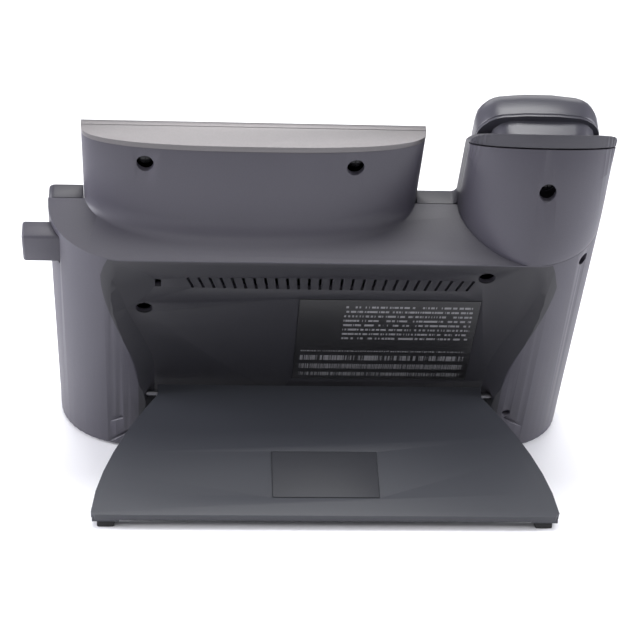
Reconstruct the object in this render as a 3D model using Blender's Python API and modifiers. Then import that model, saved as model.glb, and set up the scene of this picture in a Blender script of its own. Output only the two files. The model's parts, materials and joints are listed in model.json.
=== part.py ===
"""Desk IP phone: a leaning desk set with a handset cradle, a display pod and a folding footstand.

The phone is built in a body frame: X runs across, Y runs up the face and Z runs out of the face
towards the user. An empty tilts that frame, so that the set leans back on its footstand.
Run it in Blender: blender --background --python part.py
"""
import math

import bmesh
import bpy
from mathutils import Matrix, Vector

# ---------------------------------------------------------------- driving dimensions (metres)
FACE_TILT = math.radians(58.0)        # body face above the desk
HINGE_HEIGHT = 0.038                  # desk to the foot of the rear panel
STAND_END_HEIGHT = 0.00513            # desk to the middle of the open footstand's outer edge

BODY_WIDTH = 0.262                    # at the desk
SIDE_TAPER = 0.024                    # the handset's side leans in, for each unit up the face
TAPER_FOOT = -0.060                   # height where that side is at its full width
BODY_TOP = 0.100                      # the shoulder, along the face from the foot of the panel
FACE_PLANE = 0.044                    # front face, out from the rear panel
SEAM_PLANE = 0.036                    # parting line of the two housings
CORNER_WIDE = 0.039                   # rear corner, across
CORNER_STEPS = 14
BACK_TAPER = 0.100                    # the cheeks get deeper towards the desk
WALL = 0.0028
PLATE_WALL = 0.0025                   # front plate
GAP = 0.0003                          # parts that touch
FLOOR_CLEARANCE = 0.0018              # desk to the housings' undersides

RECESS_HALF = 0.0815                  # footstand recess at the hinge
RECESS_FLARE = 0.0170                 # how much wider its top is, each side
FLARE_START = 0.012
FLARE_END = 0.086
RECESS_WALL = 0.0042                  # width across its sloping side walls at the foot
RECESS_WALL_GROWTH = 0.0040           # and how much wider they get above the hinge

POD_HALF = 0.0776
POD_MARGIN = 0.0162                   # side of the body to the side of the pod
POD_TOP = 0.145
POD_FOOT_DEPTH = 0.0270
POD_HEAD_DEPTH = 0.0110
POD_FILLET = 0.008
POD_FRONT = 0.0415
LID_THICKNESS = 0.0027

COLUMN_WIDTH = 0.0714
COLUMN_LEAN = 0.55                    # slope of the column's back above the shoulder
COLUMN_ROUND = 1.65                   # power of its inner half, seen from above
KNEE_DEPTH = 0.034                    # where the rounded rear corners start
SEAM_RISE = 0.79                      # the rim seam climbs this much for each unit backwards
SEAM_SIDE_TOP = 0.1398                # height of that seam where the depth is RIM_DEPTH
RIM_RISE = 1.10
RIM_SIDE_TOP = 0.1448
RIM_DEPTH = 0.041
RIM_GAP = 0.0010                      # dark seam under the rim

STAND_LENGTH = 0.0793                 # hinge axis to the outer edge
STAND_THICKNESS = 0.004
BARREL_RADIUS = 0.0030
ROD_RADIUS = 0.00125
AXIS_HEIGHT = 0.0019                  # hinge axis above the foot of the panel, along the face
AXIS_DEPTH = -0.0066                  # and behind the panel
ROD_CLEARANCE = 0.0004
STAND_SIDE_GAP = 0.0015
STAND_FLARE = 0.0295
LEG_WIDTH = 0.0125
LEG_LENGTH = 0.0085
FOOT_HEIGHT = 0.0032
FOOT_INSET = 0.0022
BASE_FOOT_LENGTH = 0.030
BASE_FOOT_DEPTH = 0.008
BASE_FOOT_SPREAD = 0.095
BASE_FOOT_PLACE = -0.0560

HANDSET_PLACE = 0.0385                # its middle, in from the side of the body
HANDSET_WIDTH = 0.057
HANDSET_TOP = 0.1495
HANDSET_ARCH = 0.0035                 # its ends bulge by this much in the middle
HANDSET_BOTTOM = -0.058
HANDSET_SEAM = 0.046
HANDSET_BACK = 0.0635
HANDSET_CORNER = 0.011
HANDSET_WALL = 0.002
GRIP_GAP = 0.0006                     # handset to the face it rests on
CUP_PLACE = 0.0367                    # middle of its cups, in from the side of the body
CUP_HALF = 0.0243
CUP_CLEARANCE = 0.001
EAR_CUP_FOOT = 0.102
EAR_CUP_DEPTH = 0.022
MOUTH_CUP_TOP = -0.018
MOUTH_CUP_DEPTH = 0.009
TUB_WALL = 0.0022

SCREEN_WIDTH = 0.112
BEZEL_FOOT = 0.0655
BORDER_TOP = 0.0075                   # screen to the top of the pod
BORDER_FOOT = 0.0090                  # screen to the foot of the bezel

KEY_RISE = 0.0014
KEY_GAP = 0.0004
KEY_LIP = 0.0010

BUTTON_CENTRE = 0.08625
BUTTON_LENGTH = 0.0185
BUTTON_HEIGHT = 0.010
BUTTON_DEPTH = 0.021                  # middle of the button, out from the rear panel
BUTTON_REACH = 0.0115                 # beyond the side of the body
BUTTON_TAIL = 0.0095                  # inside the side of the body
RIB_WIDTH = 0.0025
RIB_FOOT = 0.0062                     # inside the wall of the rounded corner
SPRING_LENGTH = 0.0085
SPRING_RADIUS = 0.0030
SPRING_WIRE = 0.0003
SPRING_TURNS = 5

LABEL_WIDTH = 0.0856
LABEL_HEIGHT = 0.0654
LABEL_CENTRE = (-0.0291, 0.0393)
BADGE_WIDTH = 0.050
BADGE_HEIGHT = 0.028
BADGE_PLACE = 0.0250                  # its middle, in from the footstand's outer edge
STICKER = 0.0003
POCKET = 0.0004

VENT_COUNT = 27
VENT_PITCH = 0.0050
VENT_LENGTH = 0.0085
VENT_WIDTH = 0.0013
VENT_CENTRE = 0.0838
VENT_FAN = math.radians(20.0)
SCREW_HOLE = 0.0040                   # radius
SCREW_HOLE_DEPTH = 0.010
POD_SCREW_DROP = 0.0110               # below the top of the pod
POD_SCREWS = (0.0488, -0.0459)        # from the middle of the pod
COLUMN_SCREW = (0.0360, 0.1340)       # in from the side of the body, and up the face
LOCK_SLOT = (0.0028, 0.0055)

JACK_CENTRE = -0.017
NETWORK_JACK_X = 0.030
HANDSET_JACK_X = -0.050

HALF_WIDTH = BODY_WIDTH / 2
COLUMN_INNER = COLUMN_WIDTH - HALF_WIDTH
HANDSET_CENTRE = HANDSET_PLACE - HALF_WIDTH
CUP_CENTRE = CUP_PLACE - HALF_WIDTH
POD_CENTRE = HALF_WIDTH - POD_MARGIN - POD_HALF
SCREEN_HEIGHT = POD_TOP - BORDER_TOP - BEZEL_FOOT - BORDER_FOOT
SCREEN_CENTRE = BEZEL_FOOT + BORDER_FOOT + SCREEN_HEIGHT / 2
BADGE_CENTRE = STAND_LENGTH - BADGE_PLACE
AXIS_LEVEL = HINGE_HEIGHT + AXIS_HEIGHT * math.sin(FACE_TILT) + AXIS_DEPTH * math.cos(FACE_TILT)
STAND_SLOPE = math.asin((AXIS_LEVEL - STAND_END_HEIGHT) / STAND_LENGTH)
PANEL_PLANE = 0.0
RIB_PLACE = HALF_WIDTH - BUTTON_TAIL - SPRING_LENGTH - 2 * GAP


# ---------------------------------------------------------------- scene and materials
def clear_scene():
    for item in list(bpy.data.objects):
        bpy.data.objects.remove(item, do_unlink=True)


def collection(name):
    group = bpy.data.collections.new(name)
    bpy.context.scene.collection.children.link(group)
    return group


clear_scene()
PARTS = collection("desk_ip_phone")
CUTTERS = collection("cutters")


def frame(name, parent=None, location=(0, 0, 0), turn=0.0):
    empty = bpy.data.objects.new(name, None)
    PARTS.objects.link(empty)
    empty.parent = parent
    empty.location = location
    empty.rotation_euler = (turn, 0, 0)
    return empty


ROOT = frame("set_on_desk")
BODY = frame("body_frame", ROOT, (0, 0, HINGE_HEIGHT), FACE_TILT)

OPENING = FACE_TILT + STAND_SLOPE
STAND = frame("stand_axis", BODY, (0, AXIS_HEIGHT, AXIS_DEPTH), -OPENING)


def material(name, colour, roughness, metallic=0.0):
    made = bpy.data.materials.new(name)
    made.use_nodes = True
    shader = made.node_tree.nodes["Principled BSDF"]
    shader.inputs["Base Color"].default_value = (*colour, 1.0)
    shader.inputs["Roughness"].default_value = roughness
    shader.inputs["Metallic"].default_value = metallic
    made.diffuse_color = (*colour, 1.0)
    return made


HOUSING = material("housing_plastic", (0.075, 0.075, 0.092), 0.55)
STAND_PLASTIC = material("stand_plastic", (0.052, 0.056, 0.068), 0.55)
SILVER = material("silver_plastic", (0.42, 0.41, 0.41), 0.35, 0.6)
HANDSET_PLASTIC = material("handset_plastic", (0.085, 0.09, 0.11), 0.40)
KEY_PLASTIC = material("key_plastic", (0.10, 0.10, 0.12), 0.45)
RUBBER = material("black_rubber", (0.012, 0.012, 0.012), 0.85)
LENS = material("display_glass", (0.01, 0.012, 0.015), 0.08)
PANEL = material("lcd_panel", (0.05, 0.06, 0.08), 0.30)
BOARD = material("circuit_board", (0.02, 0.10, 0.04), 0.50)
STEEL = material("bright_steel", (0.55, 0.55, 0.56), 0.25, 1.0)
LABEL = material("label_film", (0.010, 0.010, 0.012), 0.40)


# ---------------------------------------------------------------- modelling helpers
def place(name, mesh, parent, finish=None):
    """Link a mesh as a part, or as a cutter when it has no finish."""
    item = bpy.data.objects.new(name, mesh)
    item.parent = parent
    if finish is None:
        CUTTERS.objects.link(item)
        item.hide_render = True
        item.display_type = "WIRE"
    else:
        PARTS.objects.link(item)
        mesh.materials.clear()
        mesh.materials.append(finish)
    return item


def box(name, low, high, parent, finish=None, bevel=0.0):
    bpy.ops.mesh.primitive_cube_add(size=1.0)
    raw = bpy.context.object
    mesh = raw.data
    bpy.data.objects.remove(raw)
    low, high = Vector(low), Vector(high)
    middle, size = (low + high) / 2, high - low
    mesh.transform(Matrix.Translation(middle) @ Matrix.Diagonal((*size, 1.0)))
    item = place(name, mesh, parent, finish)
    if bevel:
        rounding = item.modifiers.new("edges", "BEVEL")
        rounding.width = bevel
        rounding.segments = 1
    return item


def cylinder(name, start, end, radius, parent, finish=None, sides=24):
    start, end = Vector(start), Vector(end)
    along = end - start
    bpy.ops.mesh.primitive_cylinder_add(vertices=sides, radius=radius, depth=along.length)
    raw = bpy.context.object
    mesh = raw.data
    bpy.data.objects.remove(raw)
    turn = along.to_track_quat("Z", "Y").to_matrix().to_4x4()
    mesh.transform(Matrix.Translation((start + end) / 2) @ turn)
    mesh.shade_smooth()
    mesh.set_sharp_from_angle(angle=math.radians(40))
    return place(name, mesh, parent, finish)


def loft(name, rings, parent, finish=None):
    """A closed solid through rings of the same number of points, capped at both ends."""
    work = bmesh.new()
    rows = [[work.verts.new(point) for point in ring] for ring in rings]
    count = len(rows[0])
    for lower, upper in zip(rows, rows[1:]):
        for i in range(count):
            j = (i + 1) % count
            work.faces.new((lower[i], lower[j], upper[j], upper[i]))
    bmesh.ops.triangulate(work, faces=list(work.faces))
    work.faces.new(rows[0])
    work.faces.new(rows[-1])
    bmesh.ops.recalc_face_normals(work, faces=work.faces)
    mesh = bpy.data.meshes.new(name)
    work.to_mesh(mesh)
    work.free()
    mesh.shade_smooth()
    mesh.set_sharp_from_angle(angle=math.radians(32))
    return place(name, mesh, parent, finish)


def outline_solid(name, outline, bottom, top, parent, finish=None):
    """A flat outline in X and Y, extruded from bottom to top, as a curve turned into a mesh."""
    curve = bpy.data.curves.new(name, "CURVE")
    curve.dimensions = "2D"
    curve.fill_mode = "BOTH"
    curve.extrude = (top - bottom) / 2
    spline = curve.splines.new("POLY")
    spline.points.add(len(outline) - 1)
    for point, (x, y) in zip(spline.points, outline):
        point.co = (x, y, 0, 1)
    spline.use_cyclic_u = True
    drawn = bpy.data.objects.new(name, curve)
    CUTTERS.objects.link(drawn)
    graph = bpy.context.evaluated_depsgraph_get()
    mesh = bpy.data.meshes.new_from_object(drawn.evaluated_get(graph))
    bpy.data.objects.remove(drawn)
    work = bmesh.new()
    work.from_mesh(mesh)
    bmesh.ops.remove_doubles(work, verts=work.verts, dist=0.00001)
    bmesh.ops.recalc_face_normals(work, faces=work.faces)
    bmesh.ops.translate(work, verts=work.verts, vec=(0, 0, (top + bottom) / 2))
    work.to_mesh(mesh)
    work.free()
    return place(name, mesh, parent, finish)


def rounded(corners, steps=4):
    """An outline through corners given as x, y and radius, each turned into an arc."""
    outline = []
    for i, (x, y, radius) in enumerate(corners):
        here = Vector((x, y))
        if radius == 0:
            outline.append((x, y))
            continue
        before = (Vector(corners[i - 1][:2]) - here).normalized()
        after = (Vector(corners[(i + 1) % len(corners)][:2]) - here).normalized()
        half = before.angle(after) / 2
        centre = here + (before + after).normalized() * radius / math.sin(half)
        first = here + before * radius / math.tan(half) - centre
        last = here + after * radius / math.tan(half) - centre
        sweep = first.angle_signed(last)
        for k in range(steps + 1):
            turn = Matrix.Rotation(-sweep * k / steps, 2)
            outline.append(tuple(centre + turn @ first))
    return outline


def pivot(item, point):
    """Move a part's origin, and leave its shape where it is."""
    item.data.transform(Matrix.Translation(-Vector(point)))
    item.location = point


def boolean(item, cutter, operation="DIFFERENCE"):
    step = item.modifiers.new(cutter.name, "BOOLEAN")
    step.operation = operation
    step.object = cutter
    step.solver = "EXACT"
    return step


def joined(name, pieces, parent):
    """Several separate cutters as one."""
    work = bmesh.new()
    for piece in pieces:
        work.from_mesh(piece.data)
    mesh = bpy.data.meshes.new(name)
    work.to_mesh(mesh)
    work.free()
    for piece in pieces:
        bpy.data.objects.remove(piece)
    return place(name, mesh, parent)


# ---------------------------------------------------------------- shared surfaces
def back_of_body(v):
    """Depth of the cheeks' back at a height on the face."""
    return -GAP - BACK_TAPER * (BODY_TOP - v)


LEAN_START = BODY_TOP
LEAN_END = BODY_TOP + 0.015


def back_of_column(v):
    """The column's back follows the cheek, then bends until it leans by COLUMN_LEAN."""
    if v <= LEAN_START:
        return back_of_body(v)
    run = min(v, LEAN_END) - LEAN_START
    gain = (COLUMN_LEAN - BACK_TAPER) / (LEAN_END - LEAN_START)
    depth = back_of_body(LEAN_START) + BACK_TAPER * run + gain * run * run / 2
    return depth + COLUMN_LEAN * max(v - LEAN_END, 0.0)


def bow(centre, half, front, depth, power, steps):
    """A bow-shaped outline: flat at the front, a superellipse behind, from +X round to -X."""
    outline = []
    for k in range(steps + 1):
        angle = math.pi * k / steps
        x = math.copysign(abs(math.cos(angle)) ** (2 / power), math.cos(angle))
        w = math.sin(angle) ** (2 / power) if 0 < k < steps else 0.0
        outline.append((centre + half * x, front - depth * w))
    return outline


def side_lean(v):
    """How far the handset's side of the body leans in at a height on the face."""
    return SIDE_TAPER * (v - TAPER_FOOT)


def body_ring(v, inset, front, back):
    """Section of the lower body across X and Z, with its two rounded rear corners."""
    half = HALF_WIDTH - inset
    wide = CORNER_WIDE - inset
    knee = KNEE_DEPTH
    right = []
    for k in range(CORNER_STEPS + 1):
        angle = math.pi / 2 * k / CORNER_STEPS
        x = half - wide + wide * math.cos(angle)
        right.append((x, knee - (knee - back) * math.sin(angle)))
    points = [(half, front)] + right
    centre, lean = wide - half, 1 - side_lean(v) / wide
    left = [(centre + (-x - centre) * lean, w) for x, w in reversed(right)]
    points += left + [(left[-1][0], front)]
    return [(x, v, w) for x, w in points]


def pod_ring(v, inset, front):
    """Section of the display pod, whose back leans towards its lid and flares at its foot."""
    share = (v - BODY_TOP) / (POD_TOP - BODY_TOP)
    depth = POD_FOOT_DEPTH + (POD_HEAD_DEPTH - POD_FOOT_DEPTH) * share
    power = 2.2 + 0.5 * min(max(share, 0.0), 1.0)
    rise = max(v - BODY_TOP, 0.0)
    if rise < POD_FILLET:
        depth += POD_FILLET - math.sqrt(POD_FILLET ** 2 - (POD_FILLET - rise) ** 2)
    knee = POD_FRONT if front == POD_FRONT else POD_FRONT - GAP
    outline = bow(POD_CENTRE, POD_HALF - inset, knee, depth - inset, power, 36)
    ring = [(x, v, w) for x, w in outline]
    if front > POD_FRONT:
        ring = [(POD_CENTRE + POD_HALF - inset, v, front)] + ring
        ring.append((POD_CENTRE - POD_HALF + inset, v, front))
    return ring


def column_ring(v, inset, front):
    """Section of the handset column. Its outer half carries on the body's rounded rear corner."""
    depth = KNEE_DEPTH - back_of_column(v) - inset
    middle = CORNER_WIDE - HALF_WIDTH
    inner = COLUMN_INNER - middle - inset
    outer = CORNER_WIDE - side_lean(v) - inset
    inner_side = bow(middle, inner, KNEE_DEPTH, depth, COLUMN_ROUND, 28)[:15]
    outer_side = bow(middle, outer, KNEE_DEPTH, depth, 2.0, 28)[15:]
    points = [(middle + inner, front)] + inner_side + outer_side
    points.append((middle - outer, front))
    return [(x, v, w) for x, w in points]


def side_prism(name, profile):
    """A cutter right across the body, drawn as a profile in Y and Z."""
    rings = [[(x, v, w) for v, w in profile] for x in (-0.2, 0.2)]
    return loft(name, rings, BODY)


def rim_height(rise, side_top, w):
    return side_top + rise * (RIM_DEPTH - w)


def ear_cup_floor(v):
    """Depth of the ear cup, which stays clear of the column's sloping back."""
    behind = back_of_column(v) + WALL + TUB_WALL + 2 * CUP_CLEARANCE
    return max(HANDSET_SEAM - EAR_CUP_DEPTH, behind)


def ear_cup_ring(v, grow, top):
    """Section of the handset's ear cup, grown for the well and the tub that it sits in."""
    head = HANDSET_TOP + grow
    radius = HANDSET_CORNER + grow
    over = max(v - (head - radius), 0.0)
    half = CUP_HALF + grow - (radius - math.sqrt(max(radius ** 2 - over ** 2, 0.0)))
    knee = FACE_PLANE - 0.002
    outline = bow(CUP_CENTRE, half, knee, knee - ear_cup_floor(v) + grow, 2.6, 14)
    ring = [(CUP_CENTRE + half, v, top)] + [(x, v, w) for x, w in outline]
    return ring + [(CUP_CENTRE - half, v, top)]


def ear_cup(name, grow, top):
    foot, head = EAR_CUP_FOOT - grow, HANDSET_TOP + grow
    bend = head - HANDSET_CORNER - grow
    heights = [foot, (foot + bend) / 2, bend]
    heights += [bend + (head - bend) * share for share in (0.5, 0.8, 0.95, 1.0)]
    return loft(name, [ear_cup_ring(v, grow, top) for v in heights], BODY)


def mouth_cup(name, grow, top):
    """The mouthpiece end of the handset, a rounded block below the grip."""
    left, right = CUP_CENTRE - CUP_HALF - grow, CUP_CENTRE + CUP_HALF + grow
    low, high = HANDSET_BOTTOM + 0.002 - grow, MOUTH_CUP_TOP + grow
    radius = 0.008
    corners = [(left, low, radius), (right, low, radius), (right, high, radius), (left, high, radius)]
    return outline_solid(name, rounded(corners), HANDSET_SEAM - MOUTH_CUP_DEPTH - grow, top, BODY)


def floor_cutter():
    """Everything below the housings' undersides."""
    return box("floor_cutter", (-0.3, -0.3, -0.2), (0.3, 0.3, FLOOR_CLEARANCE), ROOT)


FLOOR = floor_cutter()
SEAM_GAP_TOP = SEAM_SIDE_TOP + RIM_GAP
ABOVE_SEAM = side_prism("above_rim_seam", [
    (rim_height(SEAM_RISE, SEAM_SIDE_TOP, 0.06), 0.06), (0.30, 0.06), (0.30, -0.05),
    (rim_height(SEAM_RISE, SEAM_SIDE_TOP, -0.05), -0.05)])
BEHIND_FRONT = side_prism("behind_front_housing", [
    (0.05, SEAM_PLANE + GAP), (rim_height(SEAM_RISE, SEAM_GAP_TOP, SEAM_PLANE + GAP), SEAM_PLANE + GAP),
    (rim_height(SEAM_RISE, SEAM_GAP_TOP, -0.05), -0.05), (0.05, -0.05)])


def above_rim():
    """Everything above the rim, whose two ends drop in a curve."""
    inner, outer = COLUMN_INNER, side_lean(RIM_SIDE_TOP) - HALF_WIDTH
    drops = [(-0.2, 0.0040), (outer, 0.0034), (outer + 0.0008, 0.0018), (outer + 0.0022, 0.0006),
             (outer + 0.0045, 0.0), (inner - 0.0090, 0.0), (inner - 0.0055, 0.0004),
             (inner - 0.0028, 0.0013), (inner - 0.0010, 0.0027), (inner, 0.0042), (0.2, 0.0044)]
    rings = []
    for x, drop in drops:
        near = rim_height(RIM_RISE, RIM_SIDE_TOP, 0.09) - drop
        far = rim_height(RIM_RISE, RIM_SIDE_TOP, -0.05) - drop
        rings.append([(x, near, 0.09), (x, 0.30, 0.09), (x, 0.30, -0.05), (x, far, -0.05)])
    return loft("above_rim", rings, BODY)


ABOVE_RIM = above_rim()


# ---------------------------------------------------------------- rear housing
def eased(value, start, end):
    """A smooth step from nought to one."""
    share = min(max((value - start) / (end - start), 0.0), 1.0)
    return share * share * (3 - 2 * share)


def recess_foot(v):
    """Half width of the footstand recess where its side walls meet the panel."""
    return RECESS_HALF + RECESS_FLARE * eased(v, FLARE_START, FLARE_END)


def recess_crest(v):
    """Half width where its side walls meet the cheeks' backs."""
    return recess_foot(v) + RECESS_WALL + RECESS_WALL_GROWTH * eased(v, 0.0, 0.017)


def recess_cutter():
    heights = [-0.095, 0.0, 0.006, 0.012, 0.018, 0.027, 0.036, 0.045, 0.054, 0.063, 0.072, 0.080, 0.088]
    heights.append(BODY_TOP + 0.02)
    rings = []
    for reach, behind in ((0.0, 0.0), (1.15, 0.0), (1.15, 0.02)):
        right = []
        for v in heights:
            half = recess_foot(v) + (recess_crest(v) - recess_foot(v)) * reach
            depth = PANEL_PLANE + min(back_of_body(v), -GAP) * reach - behind
            right.append((half, v, depth))
        rings.append(right + [(-x, v, w) for x, v, w in reversed(right)])
    return loft("recess_cutter", rings, BODY)


def vent_cutters():
    slots = []
    for i in range(VENT_COUNT):
        offset = i - (VENT_COUNT - 1) / 2
        x = offset * VENT_PITCH
        turn = -VENT_FAN * offset / ((VENT_COUNT - 1) / 2)
        half = VENT_LENGTH / 2 * math.cos(turn)
        slot = box("vent", (-VENT_WIDTH / 2, -half, -0.004), (VENT_WIDTH / 2, half, 0.006), BODY)
        slot.data.transform(Matrix.Translation((x, VENT_CENTRE, 0)) @ Matrix.Rotation(turn, 4, "Z"))
        slots.append(slot)
    return joined("vent_cutters", slots, BODY)


def screw_cutters():
    """Holes over the housing screws: two in the panel, two in the pod and one in the column."""
    pod_depth = POD_FRONT - POD_FOOT_DEPTH + 0.75 * (POD_FOOT_DEPTH - POD_HEAD_DEPTH)
    left, right = POD_CENTRE + POD_SCREWS[0], POD_CENTRE + POD_SCREWS[1]
    column = COLUMN_SCREW[0] - HALF_WIDTH
    holes = [
        ((0.0863, 0.0637), PANEL_PLANE), ((-0.0720, 0.0899), PANEL_PLANE),
        ((left, POD_TOP - POD_SCREW_DROP), pod_depth), ((right, POD_TOP - POD_SCREW_DROP), pod_depth),
        ((column, COLUMN_SCREW[1]), back_of_column(COLUMN_SCREW[1])),
    ]
    cutters = []
    for (x, v), w in holes:
        near, far = (x, v, w - 0.006), (x, v, w + SCREW_HOLE_DEPTH)
        cutters.append(cylinder("screw_hole", near, far, SCREW_HOLE, BODY, sides=16))
    return joined("screw_cutters", cutters, BODY)


def button_ports(grow):
    half_v, half_w = BUTTON_LENGTH / 2 + grow, BUTTON_HEIGHT / 2 + grow
    low = (HALF_WIDTH - 0.014, BUTTON_CENTRE - half_v, BUTTON_DEPTH - half_w)
    high = (HALF_WIDTH + 0.02, BUTTON_CENTRE + half_v, BUTTON_DEPTH + half_w)
    return box("button_port", low, high, BODY)


JACKS = {
    "network_jack": (NETWORK_JACK_X, 0.0160, 0.0135, 0.0118, 0.0085),
    "handset_jack": (HANDSET_JACK_X, 0.0125, 0.0120, 0.0080, 0.0068),
}
JACK_DEPTH = 0.016


def jack_box(name, grow, finish=None, start=0.0):
    x, width, height = JACKS[name][:3]
    low = (x - width / 2 - grow, JACK_CENTRE - height / 2 - grow, PANEL_PLANE + start)
    high = (x + width / 2 + grow, JACK_CENTRE + height / 2 + grow, PANEL_PLANE + JACK_DEPTH + grow)
    return box(name if finish else name + "_port", low, high, BODY, finish)


def rear_housing():
    bottom = -0.09
    rings = [body_ring(v, 0.0, SEAM_PLANE, back_of_body(v)) for v in (bottom, BODY_TOP)]
    shell = loft("rear_housing", rings, BODY, HOUSING)
    heights = [BODY_TOP - 0.004] + [BODY_TOP + POD_FILLET * k for k in (0.0, 0.12, 0.3, 0.6, 1.0)]
    heights += [BODY_TOP + (POD_TOP - BODY_TOP) * 4 / 9, POD_TOP - LID_THICKNESS - GAP]
    pod = loft("pod_body", [pod_ring(v, 0.0, POD_FRONT) for v in heights], BODY)
    boolean(shell, pod, "UNION")
    rings = [column_ring(v, GAP, SEAM_PLANE - GAP) for v in (BODY_TOP - 0.004, BODY_TOP - GAP)]
    heights = [BODY_TOP + GAP, 0.1025, 0.105, 0.1085, 0.112, LEAN_END, 0.135, 0.160]
    rings += [column_ring(v, 0.0, SEAM_PLANE) for v in heights]
    column = loft("column_body", rings, BODY)
    boolean(column, ABOVE_SEAM)
    boolean(shell, column, "UNION")

    inside = PANEL_PLANE + WALL
    rings = [body_ring(v, WALL, SEAM_PLANE + 0.01, inside) for v in (bottom, BODY_TOP - WALL)]
    cavity = loft("housing_cavity", rings, BODY)
    middle = BODY_TOP + (POD_TOP - BODY_TOP) * 5 / 9
    heights = [BODY_TOP - WALL - 0.003, BODY_TOP + POD_FILLET, middle, POD_TOP + 0.01]
    rings = [pod_ring(v, WALL, POD_FRONT + 0.01) for v in heights]
    boolean(cavity, loft("pod_cavity", rings, BODY), "UNION")
    under = BODY_TOP - WALL
    rings = [column_ring(v, WALL + GAP, SEAM_PLANE + 0.008) for v in (under - 0.004, under - GAP)]
    heights = [under + GAP, BODY_TOP + GAP, 0.1075, LEAN_END, 0.135, 0.161]
    rings += [column_ring(v, WALL, SEAM_PLANE + 0.0081) for v in heights]
    boolean(cavity, loft("column_cavity", rings, BODY), "UNION")
    boolean(cavity, box("cavity_floor", (-0.3, -0.3, -0.2), (0.3, 0.3, FLOOR_CLEARANCE + WALL), ROOT))
    boolean(shell, cavity)
    low = (RIB_PLACE - RIB_WIDTH, BUTTON_CENTRE - BUTTON_HEIGHT / 2, RIB_FOOT)
    high = (RIB_PLACE, BUTTON_CENTRE + BUTTON_HEIGHT / 2, BUTTON_DEPTH + BUTTON_HEIGHT / 2)
    boolean(shell, box("spring_rib", low, high, BODY), "UNION")
    boolean(shell, recess_cutter())
    boolean(shell, FLOOR)
    boolean(shell, vent_cutters())
    boolean(shell, screw_cutters())
    x, v = 0.0798, 0.0834
    low = (x - LOCK_SLOT[0] / 2, v - LOCK_SLOT[1] / 2, -0.004)
    high = (x + LOCK_SLOT[0] / 2, v + LOCK_SLOT[1] / 2, 0.006)
    boolean(shell, box("lock_slot", low, high, BODY))
    boolean(shell, button_ports(KEY_GAP))
    for name in JACKS:
        boolean(shell, jack_box(name, GAP, start=-0.004))
    reach = RECESS_HALF + 0.008
    start, end = (-reach, AXIS_HEIGHT, AXIS_DEPTH), (reach, AXIS_HEIGHT, AXIS_DEPTH)
    boolean(shell, cylinder("rod_bore", start, end, ROD_RADIUS + GAP, BODY, sides=16))
    x, v = LABEL_CENTRE
    low = (x - LABEL_WIDTH / 2 - GAP, v - LABEL_HEIGHT / 2 - GAP, PANEL_PLANE - 0.01)
    high = (x + LABEL_WIDTH / 2 + GAP, v + LABEL_HEIGHT / 2 + GAP, PANEL_PLANE + POCKET)
    boolean(shell, box("label_pocket", low, high, BODY))


# ---------------------------------------------------------------- keys
class Key:
    """A push key of the front face, drawn as a block in a port of its own shape."""

    def __init__(self, name, x, v, width, height, top=FACE_PLANE, wall=PLATE_WALL):
        self.name = name
        self.x, self.v = x, v
        self.width, self.height = width, height
        self.top, self.wall = top, wall

    def block(self, name, low_w, high_w, grow, finish=None):
        half_x, half_v = self.width / 2 + grow, self.height / 2 + grow
        low = (self.x - half_x, self.v - half_v, low_w)
        high = (self.x + half_x, self.v + half_v, high_w)
        return box(name, low, high, BODY, finish)

    def port(self):
        return self.block("port", self.top - self.wall - 0.004, self.top + 0.004, KEY_GAP)

    def build(self):
        under = self.top - self.wall
        cap = self.block(self.name, under - 0.0014, self.top + KEY_RISE, 0.0, KEY_PLASTIC)
        flange = self.block(self.name + "_flange", under - 0.0016, under - GAP, KEY_LIP)
        boolean(cap, flange, "UNION")
        edge = cap.modifiers.new("edges", "BEVEL")
        edge.width = 0.00042
        edge.segments = 1
        edge.limit_method = "ANGLE"
        edge.angle_limit = math.radians(60)
        pivot(cap, (self.x, self.v, self.top))


BEZEL_TOP = FACE_PLANE + 0.0005
BEZEL_WALL = BEZEL_TOP - POD_FRONT - GAP
KEYPAD_X = POD_CENTRE
KEYPAD_STEP = (0.0225, 0.0160)
KEYPAD_TOP = 0.0050


def key_list():
    keys = []
    for side, x in (("left", POD_CENTRE - SCREEN_WIDTH / 2 - 0.0105),
                    ("right", POD_CENTRE + SCREEN_WIDTH / 2 + 0.0105)):
        for i in range(3):
            v = SCREEN_CENTRE + 0.020 - 0.020 * i
            keys.append(Key(f"line_key_{side}_{i + 1}", x, v, 0.0105, 0.0075, BEZEL_TOP, BEZEL_WALL))
    for i in range(4):
        x = POD_CENTRE + (i - 1.5) * 0.0260
        keys.append(Key(f"soft_key_{i + 1}", x, 0.0575, 0.0200, 0.0065))
    keys.append(Key("back_key", KEYPAD_X - 0.0280, 0.0335, 0.0130, 0.0100))
    keys.append(Key("release_call_key", KEYPAD_X + 0.0280, 0.0335, 0.0130, 0.0100))
    names = ["1", "2", "3", "4", "5", "6", "7", "8", "9", "star", "0", "pound"]
    for i, name in enumerate(names):
        x = KEYPAD_X + (i % 3 - 1) * KEYPAD_STEP[0]
        v = KEYPAD_TOP - (i // 3) * KEYPAD_STEP[1]
        keys.append(Key(f"keypad_{name}", x, v, 0.0170, 0.0105))
    for i, name in enumerate(["hold", "transfer", "conference"]):
        keys.append(Key(f"{name}_key", KEYPAD_X + 0.0620, 0.0420 - i * 0.0170, 0.0150, 0.0090))
    for i, name in enumerate(["headset", "speaker", "mute"]):
        keys.append(Key(f"{name}_key", KEYPAD_X + 0.0620, -0.0110 - i * 0.0160, 0.0150, 0.0090))
    return keys


KEYS = key_list()
NAV_CENTRE = (KEYPAD_X, 0.0335)
NAV_RADIUS = 0.0130
NAV_BORE = 0.0058
SELECT_RADIUS = 0.0052
VOLUME_CENTRE = (KEYPAD_X - 0.0620, -0.0190)
VOLUME_SIZE = (0.0120, 0.0340)


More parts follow.
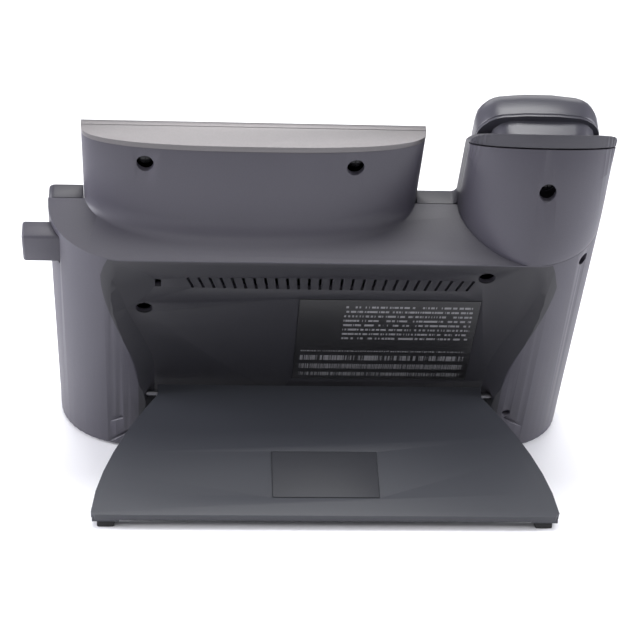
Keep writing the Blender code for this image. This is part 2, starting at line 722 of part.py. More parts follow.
def navigation():
    """The ring that tilts four ways, taken as one press, and the select key in its middle."""
    x, v = NAV_CENTRE
    under = FACE_PLANE - PLATE_WALL
    low, high = under - 0.0014, FACE_PLANE + KEY_RISE
    ring = cylinder("navigation_ring", (x, v, low), (x, v, high), NAV_RADIUS, BODY, KEY_PLASTIC, 28)
    start, end = (x, v, under - 0.0016), (x, v, under - GAP)
    boolean(ring, cylinder("ring_flange", start, end, NAV_RADIUS + KEY_LIP, BODY, sides=28), "UNION")
    boolean(ring, cylinder("ring_bore", (x, v, low - 0.002), (x, v, high + 0.002), NAV_BORE, BODY, sides=20))
    pivot(ring, (x, v, FACE_PLANE))
    select = cylinder("select_key", (x, v, low), (x, v, high + 0.0002), SELECT_RADIUS, BODY, KEY_PLASTIC, 20)
    pivot(select, (x, v, FACE_PLANE))


def volume_rocker():
    """A rocker on a pivot across its middle, under the front plate."""
    x, v = VOLUME_CENTRE
    under = FACE_PLANE - PLATE_WALL
    half_x, half_v = VOLUME_SIZE[0] / 2, VOLUME_SIZE[1] / 2
    low, high = (x - half_x, v - half_v, under - 0.0010), (x + half_x, v + half_v, FACE_PLANE + KEY_RISE)
    rocker = box("volume_rocker", low, high, BODY, KEY_PLASTIC, 0.0006)
    pivot(rocker, (x, v, under))


# ---------------------------------------------------------------- front housing
POD_LEFT = POD_CENTRE - POD_HALF
POD_RIGHT = POD_CENTRE + POD_HALF


def front_outline(inset, low, top):
    """Outline of the front housing, with the notch that the display bezel fills."""
    notch = GAP + inset
    foot = BEZEL_FOOT - GAP - inset
    right = HALF_WIDTH - inset
    left = [side_lean(v) - right for v in (low, BODY_TOP - inset, top)]
    shoulder = BODY_TOP - inset
    corners = [(left[0], low, 0), (right, low, 0), (right, shoulder, 0.003),
               (POD_RIGHT + notch, shoulder, 0), (POD_RIGHT + notch, foot, 0.002),
               (POD_LEFT - notch, foot, 0.002), (POD_LEFT - notch, shoulder, 0)]
    if inset == 0:
        column = [(COLUMN_INNER, shoulder, 0.003), (COLUMN_INNER, top, 0)]
        return rounded(corners + column + [(left[2], top, 0)])
    return rounded(corners + [(left[1], shoulder, 0)])


HOOK_CENTRE = (CUP_CENTRE, 0.0905)
HOOK_SIZE = (0.0060, 0.0070)
HOOK_TRAVEL = 0.0040


def hook_block(name, grow, low_w, high_w, finish=None):
    x, v = HOOK_CENTRE
    half_x, half_v = HOOK_SIZE[0] / 2 + grow, HOOK_SIZE[1] / 2 + grow
    return box(name, (x - half_x, v - half_v, low_w), (x + half_x, v + half_v, high_w), BODY, finish)


def front_housing():
    low, top = -0.09, 0.137
    outline = front_outline(0.0, low, top)
    shell = outline_solid("front_housing", outline, SEAM_PLANE + GAP, FACE_PLANE, BODY, HOUSING)
    inside = front_outline(WALL, low, top)
    hollow = outline_solid("front_cavity", inside, SEAM_PLANE - 0.01, FACE_PLANE - PLATE_WALL, BODY)
    under = box("front_cavity_floor", (-0.3, -0.3, -0.2), (0.3, 0.3, FLOOR_CLEARANCE + WALL), ROOT)
    boolean(hollow, under)
    boolean(shell, hollow)

    heights = [0.088, BODY_TOP, 0.105, 0.110, LEAN_END, 0.135, 0.1645]
    lip = loft("rim_lip", [column_ring(v, 0.0, FACE_PLANE - GAP / 2) for v in heights], BODY)
    boolean(lip, BEHIND_FRONT)
    boolean(lip, ABOVE_RIM)
    boolean(shell, lip, "UNION")
    tub = ear_cup("ear_tub", CUP_CLEARANCE + TUB_WALL, FACE_PLANE - 0.001)
    boolean(tub, ABOVE_RIM)
    boolean(shell, tub, "UNION")
    boolean(shell, mouth_cup("mouth_tub", CUP_CLEARANCE + TUB_WALL, FACE_PLANE - 0.001), "UNION")
    boolean(shell, ear_cup("ear_well", CUP_CLEARANCE, 0.09))
    boolean(shell, mouth_cup("mouth_well", CUP_CLEARANCE, 0.09))
    boolean(shell, FLOOR)
    boolean(shell, hook_block("hook_port", KEY_GAP, SEAM_PLANE - 0.004, 0.06))

    ports = [key.port() for key in KEYS if key.top == FACE_PLANE]
    x, v = VOLUME_CENTRE
    half_x, half_v = VOLUME_SIZE[0] / 2 + KEY_GAP, VOLUME_SIZE[1] / 2 + KEY_GAP
    ports.append(box("port", (x - half_x, v - half_v, 0.03), (x + half_x, v + half_v, 0.06), BODY))
    x, v = NAV_CENTRE
    ports.append(cylinder("port", (x, v, 0.03), (x, v, 0.06), NAV_RADIUS + KEY_GAP, BODY, sides=28))
    boolean(shell, joined("key_ports", ports, BODY))


# ---------------------------------------------------------------- display
def display():
    low, high = POD_FRONT + GAP, BEZEL_TOP
    corners = [(POD_LEFT, BEZEL_FOOT, 0.002), (POD_RIGHT, BEZEL_FOOT, 0.002),
               (POD_RIGHT, POD_TOP, 0), (POD_LEFT, POD_TOP, 0)]
    bezel = outline_solid("display_bezel", rounded(corners), low, high, BODY, SILVER)
    under_lid = POD_TOP - LID_THICKNESS
    lid = loft("lid", [pod_ring(v, 0.0, BEZEL_TOP - GAP) for v in (under_lid, POD_TOP - 0.0002)], BODY)
    boolean(bezel, lid, "UNION")
    half_x, half_v = SCREEN_WIDTH / 2, SCREEN_HEIGHT / 2
    x, v = POD_CENTRE, SCREEN_CENTRE
    window = box("window", (x - half_x, v - half_v, 0.03), (x + half_x, v + half_v, 0.06), BODY)
    boolean(bezel, window)
    boolean(bezel, joined("line_key_ports", [key.port() for key in KEYS if key.top != FACE_PLANE], BODY))

    half_x, half_v = half_x - GAP, half_v - GAP
    box("display_lens", (x - half_x, v - half_v, low), (x + half_x, v + half_v, high - GAP), BODY, LENS)
    back = SEAM_PLANE - 0.002
    low, high = (x - half_x - 0.001, v - half_v, back), (x + half_x + 0.001, v + half_v, POD_FRONT - GAP)
    box("lcd_module", low, high, BODY, PANEL)


# ---------------------------------------------------------------- handset
def handset_ring(w, inset):
    """Section of the handset, a rounded rectangle whose two ends bulge in the middle."""
    half = HANDSET_WIDTH / 2 - inset
    low, high = HANDSET_BOTTOM + inset, HANDSET_TOP - inset
    radius = max(HANDSET_CORNER - inset, 0.0025)
    corners = [(-half, low, radius), (-half / 4, low, 0), (half / 4, low, 0), (half, low, radius),
               (half, high, radius), (half / 4, high, 0), (-half / 4, high, 0), (-half, high, radius)]
    ring = []
    for x, v in rounded(corners, 5):
        bulge = HANDSET_ARCH * (1 - (x / half) ** 2)
        ring.append((HANDSET_CENTRE + x, v + math.copysign(bulge, v - (low + high) / 2), w))
    return ring


def handset():
    seam, back = HANDSET_SEAM + GAP / 2, HANDSET_BACK
    steps = [(seam, 0.0), (back - 0.0095, 0.0), (back - 0.0055, 0.0011), (back - 0.0028, 0.0032),
             (back - 0.0010, 0.0068), (back - 0.0002, 0.0110), (back, 0.0160)]
    rings = [handset_ring(w, inset) for w, inset in steps]
    shell = loft("handset_back_shell", rings, BODY, HANDSET_PLASTIC)
    wall = HANDSET_WALL
    steps = [(seam - 0.004, wall), (back - 0.0095, wall), (back - 0.0048, 0.0048), (back - wall, 0.0120)]
    boolean(shell, loft("handset_back_cavity", [handset_ring(w, inset) for w, inset in steps], BODY))

    grip, seam = FACE_PLANE + GRIP_GAP, HANDSET_SEAM - GAP / 2
    rings = [handset_ring(grip, 0.0), handset_ring(seam, 0.0)]
    front = loft("handset_front_shell", rings, BODY, HANDSET_PLASTIC)
    boolean(front, ear_cup("ear_cup", 0.0, seam - 0.0002), "UNION")
    boolean(front, mouth_cup("mouth_cup", 0.0, seam - 0.0002), "UNION")
    boolean(front, ear_cup("ear_cup_cavity", -wall, 0.06))
    boolean(front, mouth_cup("mouth_cup_cavity", -wall, 0.06))

    x, v = CUP_CENTRE, (EAR_CUP_FOOT + HANDSET_TOP) / 2 - 0.002
    start = (x, v, ear_cup_floor(v + 0.016) + wall + 0.0035)
    cylinder("receiver_capsule", start, (x, v, start[2] + 0.007), 0.0135, BODY, PANEL, 20)
    x, v = CUP_CENTRE, (HANDSET_BOTTOM + MOUTH_CUP_TOP) / 2
    start = (x, v, HANDSET_SEAM - MOUTH_CUP_DEPTH + wall + GAP)
    cylinder("microphone", start, (x, v, start[2] + 0.004), 0.0048, BODY, PANEL, 16)


# ---------------------------------------------------------------- footstand
def stand_half(s):
    """Half width of the footstand at a distance from its axis."""
    run = max(s - 0.004, 0.0) / (STAND_LENGTH - 0.004)
    return RECESS_HALF - STAND_SIDE_GAP + STAND_FLARE * (1 - (1 - run) ** 1.7)


def footstand():
    """A flared plate with a barrel along its hinged edge and a leg under each outer corner."""
    top = BARREL_RADIUS
    places = [-BARREL_RADIUS, 0.004]
    for share in (0.0531, 0.1328, 0.2258, 0.3453, 0.4914, 0.6507, 0.8101):
        places.append(0.004 + (STAND_LENGTH - 0.004) * share)
    right = [(stand_half(s), s) for s in places]
    right += [(stand_half(STAND_LENGTH), STAND_LENGTH - 0.002),
              (stand_half(STAND_LENGTH) - 0.002, STAND_LENGTH)]
    outline = right + [(-x, s) for x, s in reversed(right)]
    plate = outline_solid("footstand", outline, top - STAND_THICKNESS, top, STAND, STAND_PLASTIC)
    reach = RECESS_HALF - STAND_SIDE_GAP
    barrel = cylinder("stand_barrel", (-reach, 0, 0), (reach, 0, 0), BARREL_RADIUS, STAND, sides=20)
    boolean(plate, barrel, "UNION")

    axis = Vector((0, AXIS_HEIGHT, AXIS_DEPTH))
    world_axis = Matrix.Translation((0, 0, HINGE_HEIGHT)) @ Matrix.Rotation(FACE_TILT, 4, "X") @ axis
    end_y = world_axis.y + STAND_LENGTH * math.cos(STAND_SLOPE)
    end_z = world_axis.z - STAND_LENGTH * math.sin(STAND_SLOPE) + BARREL_RADIUS * math.cos(STAND_SLOPE)
    outer = stand_half(STAND_LENGTH) - 0.0005
    for side, sign in (("left", -1), ("right", 1)):
        xs = sorted((sign * outer, sign * (outer - LEG_WIDTH)))
        low = (xs[0], end_y - LEG_LENGTH, FOOT_HEIGHT + GAP)
        high = (xs[1], end_y - 0.0005, end_z - 0.0012)
        boolean(plate, box("leg_" + side, low, high, ROOT), "UNION")
        low = (xs[0] + FOOT_INSET, end_y - LEG_LENGTH + 0.0008, 0.0)
        high = (xs[1] - FOOT_INSET, end_y - 0.0015, FOOT_HEIGHT)
        box("stand_foot_" + side, low, high, ROOT, RUBBER, 0.0005)
    reach += 0.002
    start, end = (-reach, 0, 0), (reach, 0, 0)
    boolean(plate, cylinder("barrel_bore", start, end, ROD_RADIUS + ROD_CLEARANCE, STAND, sides=16))
    half_x, half_y = BADGE_WIDTH / 2, BADGE_HEIGHT / 2
    low = (-half_x - GAP, BADGE_CENTRE - half_y - GAP, top - POCKET)
    high = (half_x + GAP, BADGE_CENTRE + half_y + GAP, top + 0.005)
    boolean(plate, box("badge_pocket", low, high, STAND))
    low = (-half_x, BADGE_CENTRE - half_y, top - POCKET + GAP)
    high = (half_x, BADGE_CENTRE + half_y, top - POCKET + GAP + STICKER)
    box("stand_badge", low, high, STAND, STAND_PLASTIC)

    reach = RECESS_HALF + 0.007
    start, end = (-reach, AXIS_HEIGHT, AXIS_DEPTH), (reach, AXIS_HEIGHT, AXIS_DEPTH)
    cylinder("hinge_rod", start, end, ROD_RADIUS, BODY, STEEL, 16)


# ---------------------------------------------------------------- release button and small parts
def release_button():
    low = (HALF_WIDTH - BUTTON_TAIL, BUTTON_CENTRE - BUTTON_LENGTH / 2, BUTTON_DEPTH - BUTTON_HEIGHT / 2)
    high = (HALF_WIDTH + BUTTON_REACH, BUTTON_CENTRE + BUTTON_LENGTH / 2, BUTTON_DEPTH + BUTTON_HEIGHT / 2)
    button = box("release_button", low, high, BODY, HOUSING)
    pivot(button, (HALF_WIDTH, BUTTON_CENTRE, BUTTON_DEPTH))
    edge = button.modifiers.new("edges", "BEVEL")
    edge.width = 0.0012
    edge.segments = 2

    curve = bpy.data.curves.new("release_spring", "CURVE")
    curve.dimensions = "3D"
    curve.bevel_depth = SPRING_WIRE
    curve.bevel_resolution = 1
    curve.use_fill_caps = True
    steps = SPRING_TURNS * 10
    spline = curve.splines.new("POLY")
    spline.points.add(steps)
    for k, point in enumerate(spline.points):
        angle = 2 * math.pi * k / 10
        x = RIB_PLACE + GAP + SPRING_WIRE + (SPRING_LENGTH - 2 * SPRING_WIRE) * k / steps
        v = BUTTON_CENTRE + SPRING_RADIUS * math.cos(angle)
        point.co = (x, v, BUTTON_DEPTH + SPRING_RADIUS * math.sin(angle), 1)
    spring = bpy.data.objects.new("release_spring", curve)
    spring.parent = BODY
    curve.materials.append(STEEL)
    PARTS.objects.link(spring)


def small_parts():
    x, v = LABEL_CENTRE
    low = (x - LABEL_WIDTH / 2, v - LABEL_HEIGHT / 2, PANEL_PLANE + POCKET - GAP - STICKER)
    high = (x + LABEL_WIDTH / 2, v + LABEL_HEIGHT / 2, PANEL_PLANE + POCKET - GAP)
    box("rating_label", low, high, BODY, LABEL)
    for side, sign in (("left", -1), ("right", 1)):
        middle, half = sign * BASE_FOOT_SPREAD, BASE_FOOT_LENGTH / 2
        low = (middle - half, BASE_FOOT_PLACE, 0.0)
        high = (middle + half, BASE_FOOT_PLACE + BASE_FOOT_DEPTH, FLOOR_CLEARANCE - GAP)
        box("base_foot_" + side, low, high, ROOT, RUBBER, 0.0004)
    for name, (x, width, height, mouth_width, mouth_height) in JACKS.items():
        jack = jack_box(name, 0.0, KEY_PLASTIC)
        low = (x - mouth_width / 2, JACK_CENTRE - mouth_height / 2, PANEL_PLANE - 0.005)
        high = (x + mouth_width / 2, JACK_CENTRE + mouth_height / 2, PANEL_PLANE + JACK_DEPTH - 0.003)
        boolean(jack, box(name + "_mouth", low, high, BODY))
    hook_top = FACE_PLANE + GRIP_GAP - GAP
    foot = SEAM_PLANE - GAP - HOOK_TRAVEL
    hook = hook_block("hook_switch", 0.0, foot - KEY_LIP / 2, hook_top, KEY_PLASTIC)
    boolean(hook, hook_block("hook_flange", KEY_GAP + KEY_LIP, foot - KEY_LIP, foot), "UNION")
    pivot(hook, (*HOOK_CENTRE, FACE_PLANE))


def inner_parts():
    board = PANEL_PLANE + 0.026
    left, right = KEYPAD_X - 0.0822, KEYPAD_X + 0.0828
    box("main_board", (left, -0.0480, board), (right, 0.0600, board + 0.0016), BODY, BOARD)
    mat = FACE_PLANE - PLATE_WALL - 0.0042
    box("keypad_mat", (left + 0.005, -0.0560, mat), (right, 0.0600, mat + 0.0012), BODY, RUBBER)
    x, v = KEYPAD_X + 0.0578, -0.0280
    start = (x, v, board + 0.0016 + GAP)
    cylinder("loudspeaker", start, (x, v, mat - GAP), 0.0180, BODY, PANEL, 24)


def centre_on_floor():
    """Put the middle of the set's box over the origin, on the desk."""
    graph = bpy.context.evaluated_depsgraph_get()
    low, high = Vector((9, 9, 9)), Vector((-9, -9, -9))
    for item in PARTS.objects:
        if item.type not in {"MESH", "CURVE"}:
            continue
        ready = item.evaluated_get(graph)
        mesh = ready.to_mesh()
        for vertex in mesh.vertices:
            point = ready.matrix_world @ vertex.co
            low = Vector(map(min, low, point))
            high = Vector(map(max, high, point))
        ready.to_mesh_clear()
    middle = (low + high) / 2
    ROOT.location = (-middle.x, -middle.y, -low.z)


rear_housing()
front_housing()
display()
for key in KEYS:
    key.build()
navigation()
volume_rocker()
handset()
footstand()
release_button()
small_parts()
inner_parts()
centre_on_floor()
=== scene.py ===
"""Desk phone seen from behind: the looks of the set, piece by piece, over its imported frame."""

import json
import math

import bpy
from mathutils import Matrix, Vector


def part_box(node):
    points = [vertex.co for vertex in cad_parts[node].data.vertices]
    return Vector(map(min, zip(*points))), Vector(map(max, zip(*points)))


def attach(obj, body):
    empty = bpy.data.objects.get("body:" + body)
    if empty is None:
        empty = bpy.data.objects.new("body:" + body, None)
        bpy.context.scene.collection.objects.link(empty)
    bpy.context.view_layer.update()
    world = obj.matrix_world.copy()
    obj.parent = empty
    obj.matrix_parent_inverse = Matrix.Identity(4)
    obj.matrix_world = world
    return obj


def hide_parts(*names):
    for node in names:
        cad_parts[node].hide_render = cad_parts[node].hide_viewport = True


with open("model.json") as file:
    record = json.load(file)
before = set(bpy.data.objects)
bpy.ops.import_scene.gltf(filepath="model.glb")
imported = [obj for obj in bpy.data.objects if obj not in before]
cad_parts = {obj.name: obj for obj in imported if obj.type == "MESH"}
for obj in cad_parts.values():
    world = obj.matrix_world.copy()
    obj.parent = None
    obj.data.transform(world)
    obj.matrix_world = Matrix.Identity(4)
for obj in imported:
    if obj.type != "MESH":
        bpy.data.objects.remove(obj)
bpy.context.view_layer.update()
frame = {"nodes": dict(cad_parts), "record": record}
nodes = frame["nodes"]
joints = frame["record"]["behaviour"]["joints"]
hinge = next(joint["pos_m"] for joint in joints if joint["name"] == "stand_fold")
HINGE_BEHIND_FOOT = 0.006604      # the stand's axis, behind the foot of the panel
FOOT_LEVEL = 0.038                # desk to the foot of the panel
foot_of_panel = Vector((hinge[0], hinge[1] - HINGE_BEHIND_FOOT, FOOT_LEVEL))


# ---------------------------------------------------------------- studio
# A pale floor under a soft overhead box, with a box on each side: two tall side panels that draw
# the edges of the dark plastic, one behind the camera and one beyond the set. The camera looks
# down on the back of the set.
def studio_light(name, place, aim, size, power, tint=(1.0, 1.0, 1.0)):
    lamp = bpy.data.lights.new(name, "AREA")
    lamp.shape = "RECTANGLE"
    lamp.size, lamp.size_y = size
    lamp.energy = power
    lamp.color = tint
    holder = bpy.data.objects.new(name, lamp)
    bpy.context.scene.collection.objects.link(holder)
    holder.location = place
    holder.rotation_euler = (Vector(aim) - Vector(place)).to_track_quat("-Z", "Y").to_euler()


def deselect():
    for item in bpy.context.selected_objects:
        item.select_set(False)


deselect()
bpy.ops.mesh.primitive_plane_add(size=8.0, location=(0, 0, 0))
floor = bpy.context.object
floor.name = "studio_floor"
floor_paint = bpy.data.materials.new("pale_floor")
floor_paint.use_nodes = True
floor_shader = floor_paint.node_tree.nodes["Principled BSDF"]
floor_shader.inputs["Base Color"].default_value = (0.90, 0.90, 0.92, 1)
floor_shader.inputs["Roughness"].default_value = 0.9
floor.data.materials.append(floor_paint)
studio_light("top_box", (0.0, 0.04, 1.45), (0, 0.0, 0.1), (1.0, 0.6), 17)
studio_light("back_box", (0.1, 1.5, 1.5), (0, 0.0, 0.1), (1.0, 0.6), 9)
studio_light("left_panel", (1.3, 0.12, 0.42), (0, 0, 0.1), (0.7, 0.8), 29.0, (0.94, 0.94, 1.0))
studio_light("right_panel", (-1.3, 0.12, 0.42), (0, 0, 0.1), (0.7, 0.8), 21.0, (0.94, 0.94, 1.0))
studio_light("front_box", (0.0, -1.2, 0.9), (0, 0, 0.1), (1.6, 0.8), 7.0)

surround = bpy.data.worlds.new("pale_room")
bpy.context.scene.world = surround
surround.use_nodes = True
surround.node_tree.nodes["Background"].inputs["Color"].default_value = (0.96, 0.96, 1.0, 1)
surround.node_tree.nodes["Background"].inputs["Strength"].default_value = 0.28

lens = bpy.data.cameras.new("view")
lens.sensor_width = 36.0
lens.lens = 109.5
camera = bpy.data.objects.new("view", lens)
bpy.context.scene.collection.objects.link(camera)
camera.location = foot_of_panel + Vector((0.07105, 0.88402, 0.3948))
camera.rotation_euler = (math.radians(68.22), math.radians(-2.23), math.radians(176.35))
bpy.context.scene.camera = camera
bpy.context.scene.view_settings.view_transform = "Standard"


# ---------------------------------------------------------------- rear housing
# Injection moulded in charcoal plastic with a fine spark-eroded grain, which scatters the light
# and goes pale where it is seen edge on. It closes on the front housing along one parting line.
class Wire:
    """A shader socket that can be used in arithmetic."""

    def __init__(self, tree, socket):
        self.tree, self.socket = tree, socket

    def _maths(self, operation, *values):
        return Nodes(self.tree).make("ShaderNodeMath", {"operation": operation}, dict(enumerate(values)))

    def __add__(self, other):
        return self._maths("ADD", self, other)

    def __sub__(self, other):
        return self._maths("SUBTRACT", self, other)

    def __rsub__(self, other):
        return self._maths("SUBTRACT", other, self)

    def __mul__(self, other):
        return self._maths("MULTIPLY", self, other)

    __radd__, __rmul__ = __add__, __mul__

    def __lt__(self, other):
        return self._maths("LESS_THAN", self, other)

    def __gt__(self, other):
        return self._maths("GREATER_THAN", self, other)

    def modulo(self, other):
        return self._maths("FLOORED_MODULO", self, other)

    def absolute(self):
        return self._maths("ABSOLUTE", self)


class Nodes:
    """Adds nodes to a material's tree and joins them up."""

    def __init__(self, tree):
        self.tree = tree

    def make(self, kind, settings=None, values=None, out=0):
        node = self.tree.nodes.new(kind)
        for key, value in (settings or {}).items():
            setattr(node, key, value)
        for key, value in (values or {}).items():
            if isinstance(value, Wire):
                self.tree.links.new(value.socket, node.inputs[key])
            else:
                node.inputs[key].default_value = value
        return Wire(self.tree, node.outputs[out])


def moulded(name, colour, shade, roughness, grain_scale, grain, coat=0.0, metallic=0.0):
    """Plastic between two close colours, with a grain in the surface."""
    made = bpy.data.materials.new(name)
    made.use_nodes = True
    shader = made.node_tree.nodes["Principled BSDF"]
    made.diffuse_color = (*colour, 1.0)
    kit = Nodes(made.node_tree)
    place = kit.make("ShaderNodeTexCoord", out=3)
    fine = kit.make("ShaderNodeTexNoise", {},
                    {"Vector": place, "Scale": grain_scale, "Detail": 3.0, "Roughness": 0.6})
    broad = kit.make("ShaderNodeTexNoise", {}, {"Vector": place, "Scale": 22.0, "Detail": 2.0})
    tone = kit.make("ShaderNodeMix", {"data_type": "RGBA"},
                    {"Factor": fine * 0.7 + broad * 0.3, "A": (*colour, 1), "B": (*shade, 1)}, out=2)
    bump = kit.make("ShaderNodeBump", {}, {"Strength": grain, "Distance": 0.0001, "Height": fine})
    made.node_tree.links.new(tone.socket, shader.inputs["Base Color"])
    made.node_tree.links.new(bump.socket, shader.inputs["Normal"])
    rough = fine * 0.10 + (roughness - 0.05)
    made.node_tree.links.new(rough.socket, shader.inputs["Roughness"])
    shader.inputs["Metallic"].default_value = metallic
    shader.inputs["Coat Weight"].default_value = coat
    shader.inputs["Coat Roughness"].default_value = 0.25
    return made


WELD = 0.00001
EDGE_ANGLE = math.radians(32)         # a sharper edge than this is broken
SMOOTH_ANGLE = math.radians(26)       # a flatter one is shaded smooth


def rounded_copy(node, name, width, segments=2, cutters=()):
    """The node's own form as one welded surface, with its cuts made and its sharp edges broken."""
    deselect()
    source = nodes[node]
    piece = source.copy()
    piece.data = source.data.copy()
    piece.name = name
    piece.data.name = name
    piece.parent = None
    bpy.context.scene.collection.objects.link(piece)
    bpy.context.view_layer.objects.active = piece
    piece.select_set(True)
    bpy.ops.object.mode_set(mode="EDIT")
    bpy.ops.mesh.select_all(action="SELECT")
    bpy.ops.mesh.remove_doubles(threshold=WELD)
    bpy.ops.object.mode_set(mode="OBJECT")
    for cutter in cutters:
        carve(piece, cutter)
    edge = piece.modifiers.new("edges", "BEVEL")
    edge.width = width
    edge.segments = segments
    edge.limit_method = "ANGLE"
    edge.angle_limit = EDGE_ANGLE
    edge.use_clamp_overlap = True
    edge.miter_outer = "MITER_ARC"
    bpy.ops.object.modifier_apply(modifier=edge.name)
    bpy.ops.object.shade_smooth_by_angle(angle=SMOOTH_ANGLE)
    return piece


def dress(piece, material):
    piece.data.materials.clear()
    piece.data.materials.append(material)


FACE_LEAN = math.radians(58.0)        # the face above the desk
CHARCOAL = ((0.050, 0.047, 0.062), (0.034, 0.032, 0.043), 0.50, 1900.0, 0.25)
charcoal = moulded("charcoal_grain", *CHARCOAL)


def on_set(tree):
    """Places across the set, up its leaning face and out of it, for a shader."""
    kit = Nodes(tree)
    spot = kit.make("ShaderNodeTexCoord", out=3)
    parts = kit.make("ShaderNodeSeparateXYZ", {}, {"Vector": spot}).socket.node.outputs
    x, y, z = (Wire(tree, part) - origin for part, origin in zip(parts, foot_of_panel))
    cos, sin = math.cos(FACE_LEAN), math.sin(FACE_LEAN)
    return x, y * cos + z * sin, z * cos - y * sin


# Painted shade: the recess behind the footstand gets a darker base colour than the cheeks beside it, for
# the shade that falls there.
RECESS_PAINTED_SHADE = (0.0115, 0.0112, 0.0150, 1)
RECESS_TOP = 0.0992
RECESS_FRONT = 0.0010
RECESS_EDGE = {"From Min": 0.012, "From Max": 0.086, "To Min": 0.0892, "To Max": 0.1062}
# The rear plastic: the charcoal grain, with a painted shade mixed in over the recess.
rear_plastic = moulded("rear_charcoal_painted_shade", *CHARCOAL)
kit = Nodes(rear_plastic.node_tree)
across, up, out = on_set(rear_plastic.node_tree)
edge_of_recess = kit.make("ShaderNodeMapRange", {"interpolation_type": "SMOOTHSTEP"},
                          {"Value": up, **RECESS_EDGE})
# Mask of the painted shade: the panel inside the recess, below its top edge and behind its front.
painted_shade_mask = (across.absolute() < edge_of_recess) * (up < RECESS_TOP) * (out < RECESS_FRONT)
shader = rear_plastic.node_tree.nodes["Principled BSDF"]
base_colour_wire = Wire(rear_plastic.node_tree, shader.inputs["Base Color"].links[0].from_socket)
# Mix the painted shade colour into the grained base colour inside the recess.
base_colour_wire = kit.make("ShaderNodeMix", {"data_type": "RGBA"},
                {"Factor": painted_shade_mask, "A": base_colour_wire, "B": RECESS_PAINTED_SHADE}, out=2)
rear_plastic.node_tree.links.new(base_colour_wire.socket, shader.inputs["Base Color"])


def carve(piece, cutter):
    """Take a cutter out of a piece, and throw the cutter away."""
    deselect()
    bpy.context.view_layer.objects.active = piece
    piece.select_set(True)
    cut = piece.modifiers.new("carve", "BOOLEAN")
    cut.solver = "EXACT"
    cut.object = cutter
    bpy.ops.object.modifier_apply(modifier=cut.name)
    bpy.data.objects.remove(cutter, do_unlink=True)


def on_face(x, v, w):
    """A point given across the set, up its leaning face and out of it."""
    cos, sin = math.cos(FACE_LEAN), math.sin(FACE_LEAN)
    return foot_of_panel + Vector((x, v * cos - w * sin, v * sin + w * cos))


def drilled(start, end, radius):
    """A round cutter between two points."""
    deselect()
    start, end = Vector(start), Vector(end)
    along = end - start
    bpy.ops.mesh.primitive_cylinder_add(vertices=32, radius=radius, depth=along.length)
    tool = bpy.context.object
    turn = along.to_track_quat("Z", "Y").to_matrix().to_4x4()
    tool.data.transform(Matrix.Translation((start + end) / 2) @ turn)
    return tool


SLOT_CUT_DEPTH = 0.004


def slot_tool(x, v, w, length, width, turn):
    """A short round-ended cutter lying in the back, turned in its plane."""
    deselect()
    bpy.ops.mesh.primitive_cylinder_add(vertices=24, radius=width / 2, depth=SLOT_CUT_DEPTH)
    tool = bpy.context.object
    stretch = (length - width) / 2
    for vertex in tool.data.vertices:
        vertex.co.x += math.copysign(stretch, vertex.co.x)
    turned = Matrix.Rotation(FACE_LEAN, 4, "X") @ Matrix.Rotation(math.radians(turn), 4, "Z")
    tool.data.transform(Matrix.Translation(on_face(x, v, w)) @ turned)
    return tool


# Low cuts in the cheeks: place, length, width and turn in degrees.
CHEEK_CUTS = (
    ((-0.0939, -0.0065, -0.0109), 0.0042, 0.0042, 0),
    ((-0.1009, -0.0165, -0.0119), 0.0200, 0.0022, 41),
    ((0.1033, -0.0167, -0.0119), 0.0150, 0.0030, -34),
    ((0.0994, -0.0286, -0.0132), 0.0160, 0.0022, -47),
)
CORNER_HOLE = ((-0.1300, 0.0990, 0.0000), (-0.1120, 0.0900, 0.0150))
CORNER_HOLE_RADIUS = 0.0030
cuts = [slot_tool(*place, length, width, turn) for place, length, width, turn in CHEEK_CUTS]
cuts.append(drilled(on_face(*CORNER_HOLE[0]), on_face(*CORNER_HOLE[1]), CORNER_HOLE_RADIUS))
rear = rounded_copy("rear_housing", "rear_shell", 0.0005, cutters=cuts)
dress(rear, rear_plastic)
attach(rear, "set")
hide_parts("rear_housing")


# ---------------------------------------------------------------- housing screws
# Black oxide pan heads at the bottoms of the round holes. They hold the two housings together.
black_screw = moulded("black_screw", (0.020, 0.020, 0.022), (0.012, 0.012, 0.013), 0.35, 900.0, 0.05,
                      metallic=0.7)
SCREW_RADIUS = 0.0034
SCREW_FLATNESS = 0.55
CROSS = (0.0036, 0.0007, 0.0016)
CROSS_DEPTH = 0.0019


def screw_head(name, x, v, w):
    """A domed head with a cross recess, facing out of the back."""
    deselect()
    bpy.ops.mesh.primitive_uv_sphere_add(segments=24, ring_count=12, radius=SCREW_RADIUS)
    head = bpy.context.object
    head.name = name
    bpy.ops.object.mode_set(mode="EDIT")
    bpy.ops.mesh.select_all(action="SELECT")
    bpy.ops.transform.resize(value=(1.0, 1.0, SCREW_FLATNESS))
    bpy.ops.mesh.bisect(plane_co=(0, 0, 0), plane_no=(0, 0, 1), use_fill=True, clear_outer=True)
    bpy.ops.object.mode_set(mode="OBJECT")
    for turn in (0.0, math.pi / 2):
        deselect()
        bpy.ops.mesh.primitive_cube_add(size=1.0)
        slot = bpy.context.object
        slot.data.transform(Matrix.Rotation(turn, 4, "Z") @ Matrix.Translation((0, 0, -CROSS_DEPTH))
                            @ Matrix.Diagonal((*CROSS, 1)))
        carve(head, slot)
    lean = Matrix.Rotation(FACE_LEAN, 4, "X")
    head.data.transform(Matrix.Translation(on_face(x, v, w)) @ lean)
    deselect()
    bpy.context.view_layer.objects.active = head
    head.select_set(True)
    bpy.ops.object.shade_smooth_by_angle(angle=math.radians(35))
    dress(head, black_screw)
    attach(head, "set")


screw_head("panel_screw_left", 0.0863, 0.0637, 0.0055)
screw_head("panel_screw_right", -0.0720, 0.0899, 0.0055)
screw_head("pod_screw_left", 0.0860, 0.1340, 0.0325)
screw_head("pod_screw_right", -0.0087, 0.1340, 0.0325)
screw_head("column_screw", -0.0950, 0.1340, 0.0205)


